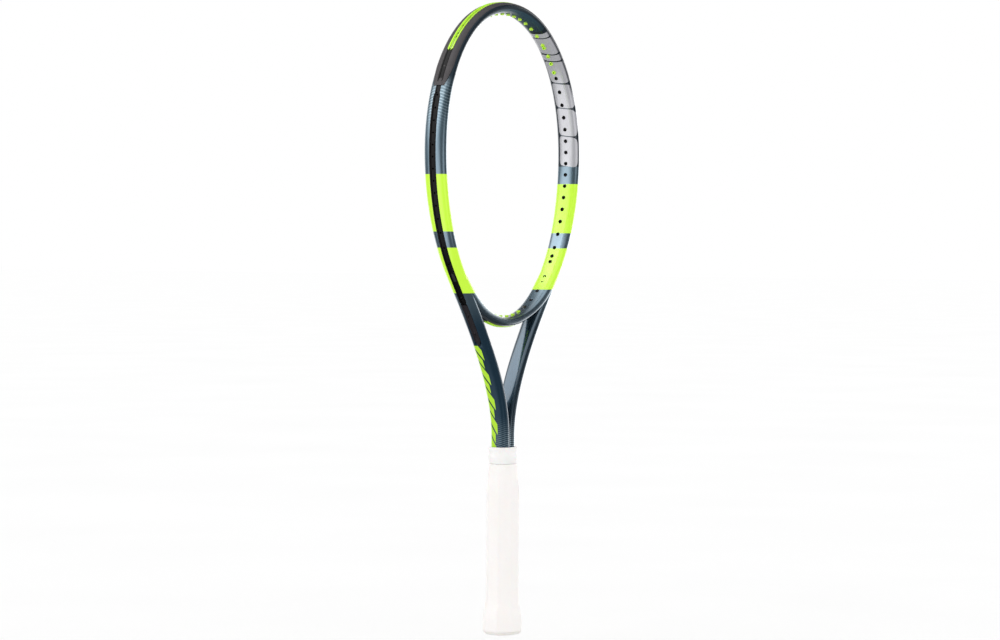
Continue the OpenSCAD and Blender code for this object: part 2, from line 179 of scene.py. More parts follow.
def run_along(points):
    """Distance from the start of a line of points to each of them."""
    steps = np.linalg.norm(np.diff(points, axis=0), axis=1)
    return np.concatenate([[0], np.cumsum(steps)])


# ---- path of the frame tube ----
# q runs 0 to 1 up the right shaft, to 2 through the throat, to 3 up the lower ellipse, to 4 over the
# upper outline to the tip, and 4 to 8 down the left side again.

TIP_Q = 4
END_Q = 8


def bezier(a, b, c, d, t):
    return (1 - t) ** 3 * a + 3 * t * (1 - t) ** 2 * b + 3 * t * t * (1 - t) * c + t ** 3 * d


def centre(q):
    """Points (x, z) on the centre line of the tube."""
    q = np.asarray(q, float)[..., None]
    r = np.where(q > TIP_Q, END_Q - q, q)
    fork = np.array([LEG_X, FORK_Z])
    join = np.array([HOOP_W * math.cos(JOIN_ANGLE), JOIN_Z])
    join_dir = unit(np.array([HOOP_W * math.sin(JOIN_ANGLE), HOOP_DROP * math.cos(JOIN_ANGLE)]))
    leg = np.array([LEG_X, LEG_LOW_Z]) * (1 - r) + fork * r
    throat = bezier(fork, fork + [0, FORK_PULL], join - JOIN_PULL * join_dir, join, r - 1)
    a = JOIN_ANGLE * (3 - r)
    lower = np.concatenate([HOOP_W * np.cos(a), HOOP_MID_Z - HOOP_DROP * np.sin(a)], -1)
    b = np.radians(90) * np.clip(r - 3, 0, 1)
    upper = np.concatenate([
        HOOP_W * np.cos(b) ** (2 / HOOP_POWER),
        HOOP_MID_Z + HOOP_RISE * np.sin(b) ** (2 / HOOP_POWER),
    ], -1)
    points = np.select([r < 1, r < 2, r < 3], [leg, throat, lower], upper)
    return points * np.where(q > TIP_Q, [-1.0, 1.0], [1.0, 1.0])


def outward(q):
    """Unit vector in the plane of the strings that points out of the hoop."""
    q = np.asarray(q, float)
    along = unit(centre(q + 0.01) - centre(q - 0.01))
    return np.stack([along[..., 1], -along[..., 0]], -1)


def stations(q0, q1, step):
    """Values of q from q0 to q1, about one step apart along the path."""
    q = np.linspace(q0, q1, 4001)
    run = run_along(centre(q))
    return np.interp(np.linspace(0, run[-1], max(2, round(run[-1] / step))), run, q)


def q_where(value, axis, q0, q1, side=-1):
    """q at which the inner (-1) or outer (1) face reaches a half width (axis 0) or height (axis 1)."""
    q = np.linspace(q0, q1, 2001)
    reached = (centre(q) + side * TUBE_W * outward(q))[:, axis]
    order = np.argsort(reached)
    return float(np.interp(value, reached[order], q[order]))


def half_depth(z):
    """Half depth of the tube, which is deepest where the hoop is widest."""
    rise = smooth((z - THROAT_Z) / (HOOP_MID_Z - THROAT_Z))
    shaft = mix(SHAFT_D, THROAT_D, smooth((z - FORK_Z) / (90 * MM)))
    if z < HOOP_MID_Z:
        return shaft + (MID_D - THROAT_D) * rise
    return mix(MID_D, TIP_D, smooth((z - HOOP_MID_Z) / HOOP_RISE))


def inner_power(z):
    """The shafts are flatter on the side where they lie against each other."""
    return mix(FLAT_POWER, TUBE_POWER, smooth((z - FORK_Z) / (110 * MM)))


def bumper_recess(z):
    """How far the tube's outer face is set back under the bumper."""
    return BUMPER_T * smooth((z - BUMPER_END_Z) / (14 * MM))


def placed(sections, points, normals):
    """Flat sections (u outward, v to the back) set along a line of points (x, z)."""
    sections = np.asarray(sections)
    u = sections[..., 0:1]
    return np.concatenate([
        points[:, None, 0:1] + u * normals[:, None, 0:1],
        sections[..., 1:2],
        points[:, None, 1:2] + u * normals[:, None, 1:2],
    ], -1)


def on_path(qs, section_at):
    """Rings of the section that section_at gives for each height, along the tube's path."""
    points = centre(qs)
    return placed([section_at(z) for z in points[:, 1]], points, outward(qs))


# ---- mesh builders ----

def new_object(name, mesh):
    piece = bpy.data.objects.new(name, mesh)
    bpy.context.scene.collection.objects.link(piece)
    return piece


def side_faces(count, size):
    """Quads between each ring of a stack and the next."""
    a = (np.arange(count - 1)[:, None] * size + np.arange(size)[None, :]).ravel()
    b = (np.arange(count - 1)[:, None] * size + (np.arange(size) + 1)[None, :] % size).ravel()
    return np.stack([a, b, b + size, a + size], -1)


def loft_parts(rings):
    """Points and faces of a closed solid through rings of equal length."""
    rings = np.asarray(rings)
    count, size, _ = rings.shape
    faces = side_faces(count, size).tolist()
    faces.append(list(range(size))[::-1])
    faces.append([(count - 1) * size + i for i in range(size)])
    return rings.reshape(-1, 3), faces


def solid(name, parts):
    """One mesh object out of several lists of points and faces, with its normals outside."""
    points, faces, offset = [], [], 0
    for part_points, part_faces in parts:
        points.append(part_points)
        faces += [[i + offset for i in f] for f in part_faces]
        offset += len(part_points)
    mesh = bpy.data.meshes.new(name)
    mesh.from_pydata(np.concatenate(points).tolist(), [], faces)
    mesh.validate()
    piece = new_object(name, mesh)
    face_outward(mesh)
    return piece


def face_outward(mesh):
    """Turns every face of each closed shell to look out of it."""
    work = bmesh.new()
    work.from_mesh(mesh)
    bmesh.ops.recalc_face_normals(work, faces=work.faces)
    work.to_mesh(mesh)
    work.free()


def lofted(name, rings):
    return solid(name, [loft_parts(rings)])


def combine(piece, tool, operation):
    """Cuts the tool out of a piece, or joins it on, and deletes the tool."""
    step = piece.modifiers.new("combine", "BOOLEAN")
    step.operation = operation
    step.solver = "MANIFOLD"
    step.object = tool
    graph = bpy.context.evaluated_depsgraph_get()
    mesh = bpy.data.meshes.new_from_object(piece.evaluated_get(graph))
    piece.modifiers.clear()
    piece.data = mesh
    bpy.data.objects.remove(tool)
    return piece


def shade(piece, angle=32):
    """Smooth shading, with edges sharper than the angle left crisp."""
    piece.data.shade_smooth()
    piece.data.set_sharp_from_angle(angle=math.radians(angle))
    return piece


def place(piece, node, material):
    """Puts a piece on its node's body, in the node's place."""
    piece.data.materials.clear()
    piece.data.materials.append(material)
    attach(piece, frame["nodes"][node]["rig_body"])
    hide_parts(node)


# ---- string holes ----
# A hole is (point on the inner face, direction into the bed, length out to the strip), in (x, z).

def turned(v, angle):
    c = math.cos(angle)
    s = math.sin(angle)
    return np.array([v[0] * c - v[1] * s, v[0] * s + v[1] * c])


def hole(q, string, limit):
    """Hole at q that leans from the tube's normal toward the string, by at most limit degrees."""
    normal = -outward(q)
    lean = math.atan2(normal[0] * string[1] - normal[1] * string[0], float(normal @ string))
    limit = math.radians(limit)
    direction = turned(normal, min(limit, max(-limit, lean)))
    return centre(q) + TUBE_W * normal, direction, (2 * TUBE_W - MM) / float(normal @ direction)


def cross_z(i):
    """Height of cross string i, counted from the middle one. The gaps grow toward both ends."""
    return CROSS_MID_Z + CROSS_PITCH * i + CROSS_SPREAD * i ** 3


def tip_x(k):
    """Half width at which main string k meets the tip, drawn in a little toward the shoulders."""
    return MAIN_PITCH * (k + 0.5) - (0.4 * (k - 5) if k > 5 else 0.12 * k) * MM


def cross_holes(first, last):
    inward = np.array([-1.0, 0.0])
    return [hole(q_where(cross_z(i), 1, 1.6, 3.95), inward, 20) for i in range(first, last + 1)]


def bed_floor(x):
    """Height of the ring's inner face at the bottom of the string bed."""
    w = HOOP_W - TUBE_W
    drop = HOOP_DROP - TUBE_W
    return HOOP_MID_Z - drop * math.sqrt(1 - (x / w) ** 2)


def shaft_hole(x):
    """Long upright hole through the joint of ring and shaft, to the shaft's outer face."""
    q = q_where(x, 0, 1.2, 2.2, 1)
    low = float((centre(q) + TUBE_W * outward(q))[1])
    return np.array([x, bed_floor(x)]), UP, bed_floor(x) - low - 1.5 * MM


def both(holes):
    """The holes of the right side and their mirror images."""
    flip = np.array([-1.0, 1.0])
    return holes + [(p * flip, d * flip, length) for p, d, length in holes]


UP = np.array([0.0, 1.0])
HEAD_HOLES = (
    [hole(q_where(tip_x(k), 0, 3.01, 4), -UP, 20) for k in range(8)]
    + [hole(q_where(cross_z(7) + 6.5 * MM, 1, 3, 3.9), np.array([-1.0, 0.0]), 10)]
    + cross_holes(8, 9)
)
SIDE_HOLES = (
    cross_holes(-9, 7)
    + [hole(q_where(95.5 * MM, 0, 2, 3), UP, 20)]
    + [hole(q_where(77 * MM, 0, 1.4, 2.6), UP, 50)]
)
SHAFT_HOLES = [shaft_hole(x) for x in (53.5 * MM, 66 * MM)]
THROAT_HOLES = [
    (np.array([MAIN_PITCH * (k + 0.5), bed_floor(MAIN_PITCH * (k + 0.5))]), UP, 2 * BRIDGE_W - 0.6 * MM)
    for k in range(4)
]


def turned_part(at, profile, sides=24):
    """Solid of revolution about a hole's axis. The profile is (distance into the bed, radius)."""
    point, direction, _ = at
    axis = np.array([direction[0], 0, direction[1]])
    across = np.array([direction[1], 0, -direction[0]])
    start = np.array([point[0], 0, point[1]])
    turn = np.linspace(0, 2 * math.pi, sides, endpoint=False)
    circle = np.cos(turn)[:, None] * across + np.sin(turn)[:, None] * np.array([0, 1.0, 0])
    return loft_parts([start + axis * t + circle * r for t, r in profile])


def rods(name, holes, radius, past_in, past_out):
    """Straight rods along the holes, to cut with."""
    return solid(name, [
        turned_part(h, [(past_in, radius), (-h[2] - past_out, radius)]) for h in holes
    ])


def barrels(name, holes, radius, stand, base):
    """Grommet barrels with a rounded lip that stands out of the inner face."""
    soft = 0.45 * MM
    lip = [(stand - soft * (1 - math.sin(a)), radius - soft * (1 - math.cos(a)))
           for a in np.radians([90, 67, 45, 22, 0])]
    return solid(name, [turned_part(h, lip + [(-h[2] + base, radius)]) for h in holes])


# ---- frame ----

def tube_section(z):
    """Section of the tube with its string groove, starting at the front of the outer face."""
    d = half_depth(z)
    w_out = TUBE_W - bumper_recess(z)
    groove = GROOVE_DEEP * smooth((z - GROOVE_END_Z) / (3 * MM))
    groove_w = GROOVE_W + MM * (1 - smooth((z - WIDE_GROOVE_Z) / (3 * MM)))
    edge = math.degrees(math.asin(((groove_w + 0.25 * MM) / d) ** 1.2))
    flank = super_points(np.linspace(90, edge, 15), w_out, d, TUBE_POWER)

    def floor_point(v, deep):
        return [super_side(v, w_out, d, TUBE_POWER) - deep * groove, v]

    bevel = [
        floor_point(groove_w, 0.08),
        floor_point(groove_w - 0.05 * MM, 0.3),
        floor_point(groove_w - 0.1 * MM, 0.93),
        floor_point(groove_w - 0.25 * MM, 1),
        floor_point(groove_w * 0.5, 1),
    ]
    half = np.concatenate([flank, bevel, [floor_point(0, 1)]])
    other = (half * [1, -1])[-2::-1]
    inner = super_points(np.linspace(270, 90, 27)[1:-1], TUBE_W, d, inner_power(z))
    return np.concatenate([half, other, inner])


def paint_marks(mesh):
    """Stores, for the paint, how far each point lies out from the centre line and along the hoop."""
    points = np.array([v.co for v in mesh.vertices])
    q = np.linspace(0, 4, 1601)
    line, normal = centre(q), outward(q)
    run = run_along(line)
    flat = np.stack([np.abs(points[:, 0]), points[:, 2]], -1)
    nearest = np.concatenate([
        np.argmin(((part[:, None] - line[None]) ** 2).sum(-1), axis=1)
        for part in np.array_split(flat, max(1, len(flat) // 4000))
    ])
    out = ((flat - line[nearest]) * normal[nearest]).sum(-1)
    for name, values in (("out", out), ("run", run[nearest])):
        mesh.attributes.new(name, "FLOAT", "POINT").data.foreach_set("value", values.astype(np.float32))


def build_frame():
    inside = stations(0, q_where(HIDDEN_Z, 1, 0, 1), 12 * MM)
    shown = stations(inside[-1], TIP_Q, STEP)
    half = np.concatenate([inside[:-1], shown])
    qs = np.concatenate([half, END_Q - half[-2::-1]])
    piece = lofted("frame_shell", on_path(qs, tube_section))
    holes = both(HEAD_HOLES + SIDE_HOLES + SHAFT_HOLES)
    combine(piece, rods("hole_cutter", holes, HOLE_R, CUT_PAST, CUT_PAST), "DIFFERENCE")
    paint_marks(piece.data)
    return shade(piece)


def ring_section(angle):
    """Section of the ring that closes the hoop, fuller where it runs into the hoop."""
    a = abs(angle)
    z = bed_floor((HOOP_W - TUBE_W) * math.sin(math.radians(a)))
    flare = smooth((a - 14) / 18)
    fade = smooth((a - 38) / 8)
    w = mix(BRIDGE_W, TUBE_W + 0.1 * MM, flare) - 0.5 * MM * fade
    d = mix(BRIDGE_D, half_depth(z) + 0.3 * MM, flare) - 0.9 * MM * fade
    shift = w - BRIDGE_W + 0.35 * MM * fade
    groove = GROOVE_DEEP * smooth((24 - a) / 3)
    slot_w = 2.6 * MM
    edge = math.degrees(math.asin((slot_w / d) ** 1.4))
    flank = super_points(np.linspace(90, edge, 15), w, d, BRIDGE_POWER)
    floor = super_side(0, w, d, BRIDGE_POWER) - groove
    half = np.concatenate([flank, [[floor, slot_w], [floor, slot_w / 2], [floor, 0]]])
    inner = super_points(np.linspace(270, 90, 27)[1:-1], w, d, BRIDGE_POWER)
    section = np.concatenate([half, (half * [1, -1])[-2::-1], inner])
    return section + [shift, 0]


def ring_path(angles):
    """Points on the ring's centre line and unit vectors out of the hoop, at degrees from the middle."""
    w = HOOP_W - TUBE_W + BRIDGE_W
    drop = HOOP_DROP - TUBE_W + BRIDGE_W
    s = np.sin(np.radians(angles))
    c = np.cos(np.radians(angles))
    points = np.stack([w * s, HOOP_MID_Z - drop * c], -1)
    return points, unit(np.stack([drop * s, -w * c], -1))


def build_ring():
    angles = np.linspace(-46, 46, 141)
    points, normals = ring_path(angles)
    piece = lofted("throat_ring", placed([ring_section(a) for a in angles], points, normals))
    holes = both(THROAT_HOLES + SHAFT_HOLES)
    combine(piece, rods("ring_cutter", holes, HOLE_R, CUT_PAST, SHAFT_REACH), "DIFFERENCE")
    paint_marks(piece.data)
    return shade(piece)


# ---- guards and grommets ----

def bumper_section(z):
    """Section of the bumper: two flanks and the slot between them, over the tube's outer face."""
    d = half_depth(z) + 0.05 * MM
    spread = mix(25, 58, smooth((z - BUMPER_END_Z + 2 * MM) / (BUMPER_FULL_Z - BUMPER_END_Z)))
    bed = TUBE_W - bumper_recess(z)
    w = max(TUBE_W, bed + 0.5 * MM)
    slot_w = HEAD_STRIP_W + 0.2 * MM
    floor = bed + 0.4 * MM
    start = math.degrees(math.asin(((slot_w + 0.3 * MM) / d) ** 1.2))
    flank = super_points(np.linspace(spread, start, 12), w, d, TUBE_POWER)
    lip = super_points(np.array([spread + 0.6]), w - 0.35 * MM, d - 0.02 * MM, TUBE_POWER)
    side = super_side(slot_w, w, d, TUBE_POWER)
    edge = [[side - 0.12 * MM, slot_w], [floor, slot_w - 0.1 * MM], [floor, slot_w * 0.4]]
    outer = np.concatenate([lip, flank, edge])
    under = super_points(np.linspace(start, spread, 6), bed + 0.15 * MM, d, TUBE_POWER)
    inside = np.concatenate([[[bed, slot_w * 0.4], [bed, slot_w]], under])
    flip = [1, -1]
    return np.concatenate([outer, (outer * flip)[::-1], (inside * flip)[::-1], inside])


def build_bumper():
    end = q_where(BUMPER_END_Z, 1, 3, 3.9)
    qs = stations(end, END_Q - end, STEP)
    piece = lofted("tip_bumper", on_path(qs, bumper_section))
    through = both(HEAD_HOLES[:8] + HEAD_HOLES[10:])
    combine(piece, rods("bumper_cutter", through, HOLE_R, CUT_PAST, CUT_PAST), "DIFFERENCE")
    return shade(piece)


def rail_section(low, top, half_w, rail_w, deep):
    """Section of a grommet strip: a base with two rounded rails and a channel between them."""
    soft = min(0.35 * MM, rail_w * 0.4)
    half = [
        [low, half_w],
        [top - soft, half_w],
        [top - soft * 0.3, half_w - soft * 0.3],
        [top, half_w - soft],
        [top, half_w - rail_w + soft],
        [top - soft * 0.3, half_w - rail_w + soft * 0.3],
        [top - soft, half_w - rail_w],
        [top - deep, half_w - rail_w - 0.1 * MM],
    ]
    half = np.array(half)
    return np.concatenate([half, (half * [1, -1])[::-1]])


def strip_rings(qs, low, top, half_w, rail_w, deep, round_ends=True):
    """Rings of a strip along the tube's path, with rounded ends."""
    points = centre(qs)
    run = run_along(points)
    sections = []
    for s in run:
        near = min(s, run[-1] - s)
        round_w = 1.0
        if round_ends and near < half_w:
            round_w = max(0.25, math.sqrt(1 - (1 - near / half_w) ** 2))
        width = half_w * round_w
        sections.append(rail_section(low, top, width, min(rail_w, width * 0.45), deep))
    return placed(sections, points, outward(qs))


def with_ends(q0, q1, step, half_w):
    """Stations with closer ones over the strip's rounded ends."""
    qs = stations(q0, q1, step)
    per_metre = (q1 - q0) / run_along(centre(np.linspace(q0, q1, 400)))[-1]
    near = half_w * np.array([0, 0.04, 0.15, 0.35, 0.65, 1]) * per_metre
    inside = qs[(qs > q0 + near[-1]) & (qs < q1 - near[-1])]
    return np.concatenate([q0 + near, inside, (q1 - near)[::-1]])


def bored(piece, holes, stand, base, radius=BARREL_R):
    """Adds a barrel at each hole, then bores all of them through."""
    combine(piece, barrels("barrels", holes, radius, stand, base), "UNION")
    combine(piece, rods("bores", holes, BORE_R, BORE_PAST, BORE_PAST), "DIFFERENCE")
    return shade(piece)


def build_head_strip():
    change = q_where(STRIP_CHANGE_Z, 1, 3, 3.9) + 0.01
    top_end = q_where(HEAD_STRIP_END_Z, 1, 3, 3.95, 1)
    rail = strip_rings(with_ends(top_end, END_Q - top_end, STEP, HEAD_STRIP_W), TUBE_W - 1.9 * MM,
                       TUBE_W + 0.35 * MM, HEAD_STRIP_W, 2.1 * MM, 1.1 * MM)
    base = strip_rings(stations(change, END_Q - change, 3 * MM), TUBE_W - 2.3 * MM, TUBE_W - 1 * MM,
                       1.9 * MM, 0.6 * MM, 0.1 * MM, False)
    piece = lofted("tip_strip", rail)
    combine(piece, lofted("tip_strip_base", base), "UNION")
    bored(piece, both(HEAD_HOLES), LIME_STAND, BARREL_BASE, LIME_BARREL_R)
    paint_marks(piece.data)
    return piece


def build_side_strip(name, mirrored):
    """Black strip with a narrow tongue that runs on under the bumper."""
    low = q_where(STRIP_LOW_X, 0, 1.3, 2.4, 1)
    wide_end = q_where(BUMPER_END_Z, 1, 3, 3.9) - 0.03
    change = q_where(STRIP_CHANGE_Z, 1, 3, 3.9) - 0.01
    base = strip_rings(with_ends(low, wide_end, STEP, STRIP_W), TUBE_W - 1.6 * MM,
                       TUBE_W + 0.25 * MM, STRIP_W, 2.8 * MM, 0.9 * MM)
    tongue = strip_rings(stations(wide_end - 0.02, change, STEP), TUBE_W - 1.6 * MM,
                         TUBE_W - 0.1 * MM, HEAD_STRIP_W, 2 * MM, 0.5 * MM, False)
    piece = lofted(name, base)
    combine(piece, lofted("tongue", tongue), "UNION")
    bored(piece, SIDE_HOLES, BLACK_STAND, BARREL_BASE)
    return mirror_x(piece) if mirrored else piece


def mirror_x(piece):
    piece.data.transform(Matrix.Scale(-1, 4, (1, 0, 0)))
    piece.data.flip_normals()
    return piece


def build_insert(name, mirrored):
    """Insert on a shaft's outer side, which tapers to a point at its lower end."""
    low = q_where(INSERT_LOW_X, 0, 1.2, 2.2, 1)
    high = q_where(INSERT_HIGH_X, 0, 1.2, 2.2, 1)
    half_w = GROOVE_W + 0.9 * MM
    qs = with_ends(low, high, 0.8 * MM, half_w)
    points = centre(qs)
    sections = []
    for s in run_along(points):
        end = smooth(s / (9 * MM))
        width = mix(1.1 * MM, half_w, end)
        sections.append(rail_section(TUBE_W - 1.7 * MM, TUBE_W + 0.15 * MM * end - 0.05 * MM, width,
                                     width * 0.4, 0.5 * MM * end))
    piece = lofted(name, placed(sections, points, outward(qs)))
    bored(piece, SHAFT_HOLES, BLACK_STAND, 2 * BARREL_BASE)
    return mirror_x(piece) if mirrored else piece


def build_throat_strip():
    angles = np.linspace(-21, 21, 85)
    points, normals = ring_path(angles)
    sections = []
    for a in angles:
        end = math.sqrt(max(0.0, 1 - max(0.0, (abs(a) - 20) / 1.05) ** 2))
        width = 2.4 * MM * max(0.3, end)
        sections.append(rail_section(BRIDGE_W - 1.5 * MM, BRIDGE_W + 0.9 * MM, width, width * 0.45, MM))
    piece = lofted("throat_strip", placed(sections, points, normals))
    return bored(piece, both(THROAT_HOLES), LIME_STAND, BARREL_BASE, LIME_BARREL_R)


# ---- handle ----

def handle_radius(angles, power):
    """Outline of the handle at unit size: a superellipse, or for power 0 a rounded octagon."""
    if power > 0:
        c = np.abs(np.cos(angles))
        s = np.abs(np.sin(angles))
        return (c ** power + s ** power) ** (-1 / power)
    faces = np.radians(np.arange(0, 360, 45))
    near = np.clip(np.cos(angles[:, None] - faces[None]), 0, 1)
    return (near ** 30).sum(1) ** (-1 / 30)


def handle_rings(profile, step, sides=120, swell=None):
    """Rings through a profile of (z, half width, half depth, share of oval), all in millimetres."""
    profile = np.array(profile, float)
    angles = np.linspace(0, 2 * math.pi, sides, endpoint=False)
    octagon = handle_radius(angles, 0)
    oval = handle_radius(angles, OVAL_POWER)
    heights = [profile[0, 0]]
    for z0, z1 in zip(profile[:-1, 0], profile[1:, 0]):
        count = max(1, math.ceil((z1 - z0) / step))
        heights += list(np.linspace(z0, z1, count + 1)[1:])
    rings = []
    for z in heights:
        w, d, share = (np.interp(z, profile[:, 0], profile[:, k]) for k in (1, 2, 3))
        radius = mix(octagon, oval, share)
        more = swell(angles, z) if swell else 0
        rings.append(np.stack([
            (w + more) * radius * np.cos(angles),
            (d + more) * radius * np.sin(angles),
            np.full(sides, z),
        ], -1))
    return np.array(rings) * MM


def tube_parts(outer, inner):
    """Closed shell between an outer and an inner stack of rings."""
    rings = np.concatenate([outer, inner[::-1], outer[:1]])
    count, size, _ = rings.shape
    faces = side_faces(count, size) % ((count - 1) * size)
    return rings[:-1].reshape(-1, 3), faces.tolist()


DEPTH = 0.935                  # depth of the wrapped handle over its width
GRIP_PROFILE = [
    (3.5, 21, 19.5, 0), (3.8, 21.3, 19.8, 0), (6, 21.5, 20, 0), (12, 21.55, 20.05, 0),
    (18, 21.45, 19.95, 0), (21, 21.1, 19.65, 0), (24, 20.4, 19, 0), (27, 19.55, 18.2, 0),
    (30, 18.85, 17.6, 0), (34, 18.3, 17.1, 0), (39, 17.95, 17.95 * DEPTH, 0),
    (46, 17.8, 17.8 * DEPTH, 0), (156, 17.9, 17.9 * DEPTH, 0), (162, 17.6, 16.45, 0.1),
    (167, 17.15, 15.9, 0.3), (171, 16.7, 15.1, 0.6), (175, 16.3, 14.2, 0.9), (179, 16.05, 13.6, 1),
    (184.4, 15.9, 13.2, 1), (184.9, 15.6, 12.9, 1), (185.1, 14.6, 11.8, 1), (192.5, 14.4, 11.6, 1),
]
GRIP_INNER = [
    (3.5, 19.7, 18.25, 0), (21, 19.65, 18.2, 0), (27, 17.75, 16.45, 0), (35, 16.05, 14.85, 0),
    (156, 16.1, 14.9, 0), (167, 15.25, 14.15, 0), (174, 14.45, 12.45, 1), (192.5, 13.95, 11.25, 1),
]
WRAP_PITCH = 23.5              # rise of the wound strip in one turn, and the height of its lap
WRAP_LAP = 0.16
DOOR_R = 9.4                   # radius of the opening for the trap door


def wrap_swell(angles, z):
    """Height of the wound strip: it rises a little toward its lapped edge, then drops at the seam."""
    turn = (z / WRAP_PITCH + angles / (2 * math.pi)) % 1.0
    lap = WRAP_LAP * smooth(turn) - WRAP_LAP * smooth((turn - 0.972) / 0.028)
    seam = np.exp(-((turn - 0.985) / 0.014) ** 2)
    fade = smooth((z - 9) / 8) * smooth((184 - z) / 3)
    return (lap - WRAP_LAP * seam) * fade


def build_grip():
    outer = handle_rings(GRIP_PROFILE, 0.6, swell=wrap_swell)
    inner = handle_rings(GRIP_INNER, 12)
    return shade(solid("grip_wrap", [tube_parts(outer, inner)]), 50)


def build_cap():
    """Butt cap: a flared rim, a collar up inside the grip, and a stepped opening for the trap door."""
    outer = handle_rings([
        (0, 17.6, 16.2, 0), (0.15, 18.4, 17, 0), (0.5, 19.2, 17.75, 0), (1, 19.9, 18.4, 0),
        (1.7, 20.5, 19, 0), (2.6, 21, 19.5, 0), (3.2, 21.2, 19.7, 0), (3.35, 21, 19.5, 0),
        (3.4, 19.5, 18.05, 0), (21, 19.45, 18, 0), (27, 17.55, 16.25, 0), (32, 16.4, 15.2, 0),
    ], 3)
    inner = handle_rings([(3, 16, 14.75, 0), (32, 16, 14.75, 0)], 6)
    sides = outer.shape[1]
    turn = np.linspace(0, 2 * math.pi, sides, endpoint=False)

    def circle(r, z):
        return np.stack([r * np.cos(turn), r * np.sin(turn), np.full(sides, z)], -1)[None] * MM

    under = [circle(r, z) for r, z in (
        (DOOR_R, 3), (DOOR_R, 1.95), (DOOR_R + 0.1, 1.8), (DOOR_R + 1.7, 1.8), (DOOR_R + 1.8, 1.65),
        (DOOR_R + 1.8, 0.25), (DOOR_R + 2, 0.02), (DOOR_R + 4.2, 0.02), (DOOR_R + 4.4, 0.5),
        (DOOR_R + 4.9, 0.5), (DOOR_R + 5.1, 0.02),
    )]
    rings = np.concatenate([outer, inner[::-1]] + under)
    points, faces = tube_parts(rings, rings[:0])
    return shade(solid("butt_rim", [(points, faces)]), 40)


def build_door():
    """Trap door: a grooved disc with a finger notch, and a snap rim above it."""
    turn = np.linspace(0, 2 * math.pi, 96, endpoint=False)
    notch = smooth((np.cos(turn - math.pi / 2) - 0.955) / 0.02)

    def circle(r, z, cut=0.0):
        radius = r - cut * notch
        return np.stack([radius * np.cos(turn), radius * np.sin(turn), np.full(96, z)], -1) * MM

    rings = [circle(r, z, cut) for r, z, cut in (
        (7.8, 2, 0), (7.8, 8, 0), (8.2, 8, 0), (9.1, 7.6, 0), (9.45, 6.6, 0), (9.15, 5.4, 0),
        (9.15, 1.65, 0), (9.3, 1.55, 0), (10.9, 1.55, 0), (11, 1.45, 0), (11, 0.55, 1.5),
        (10.75, 0.25, 1.5), (10.3, 0.2, 1.2), (8.3, 0.2, 0), (8.1, 0.45, 0), (7.5, 0.45, 0),
        (7.3, 0.2, 0), (2.4, 0.2, 0), (2.2, 0.45, 0), (1.2, 0.45, 0), (1.0, 0.3, 0),
    )]
    return shade(lofted("trap_door_plug", rings), 40)


def build_tape():
    outer = handle_rings([(186, 14.95, 12.15, 1), (192.7, 14.75, 11.95, 1), (194.2, 14.45, 11.75, 1),
                          (198, 13.4, 11.1, 1)], 1)
    inner = handle_rings([(186, 14.75, 11.95, 1), (192.7, 14.55, 11.75, 1), (194.2, 14.25, 11.55, 1),
                          (198, 13.2, 10.9, 1)], 1)
    return shade(solid("end_tape", [tube_parts(outer, inner)]), 40)


def collar_swell(angles, z):
    """Two soft ridges round the collar, with a waist between them, and a small bead at its foot."""
    ridges = 0.3 * math.cos(math.radians(360) * (z - 191.5) / 10.5) * float(smooth((203.2 - z) / 1.2))
    return ridges + 0.2 * math.exp(-((z - 186.4) / 0.7) ** 2)


def build_collar():
    outer = handle_rings([
        (185.4, 15.45, 12.6, 1), (185.7, 15.7, 12.85, 1), (186.5, 15.8, 12.95, 1), (189, 15.95, 13.05, 1),
        (192, 16.25, 13.3, 1), (194, 16.45, 13.45, 1), (202, 16.5, 13.5, 1), (202.9, 16.3, 13.3, 1),
        (203.3, 15.8, 12.8, 1),
    ], 0.4, swell=collar_swell)
    inner = handle_rings([(185.4, 15.15, 12.35, 1), (193, 15.1, 12.3, 1), (199.5, 13.7, 11.4, 1),
                          (202.6, 12.85, 10.85, 1), (203.3, 13.2, 11.1, 1)], 2)
    return shade(solid("grip_sleeve", [tube_parts(outer, inner)]), 50)


# ---- shader helpers ----

def feed(tree, slot, value):
    """Links a field or a socket to a slot, or sets the slot to a plain value."""
    if isinstance(value, Field):
        value = value.socket
    if isinstance(value, bpy.types.NodeSocket):
        tree.links.new(value, slot)
    else:
        slot.default_value = value


class Field:
    """A number that varies over a surface. Its sums and products become shader maths nodes."""

    def __init__(self, tree, socket):
        self.tree = tree
        self.socket = socket

    def op(self, kind, *others):
        node = self.tree.nodes.new("ShaderNodeMath")
        node.operation = kind
        for slot, value in zip(node.inputs, (self,) + others):
            feed(self.tree, slot, value)
        return Field(self.tree, node.outputs[0])

    def __add__(self, other):
        return self.op("ADD", other)

    def __sub__(self, other):
        return self.op("SUBTRACT", other)

    def __mul__(self, other):
        return self.op("MULTIPLY", other)

    def __truediv__(self, other):
        return self.op("DIVIDE", other)

    def invert(self):
        return self * -1.0 + 1.0

    def rise(self, start, end):
        """0 before start, 1 after end, smooth between them."""
        node = self.tree.nodes.new("ShaderNodeMapRange")
        node.interpolation_type = "SMOOTHSTEP"
        self.tree.links.new(self.socket, node.inputs["Value"])
        node.inputs["From Min"].default_value = start
        node.inputs["From Max"].default_value = end
        return Field(self.tree, node.outputs["Result"])

    def band(self, low, high, soft=0.05 * MM):
        """1 between low and high, 0 outside."""
        return self.rise(low - soft, low + soft) * self.rise(high - soft, high + soft).invert()


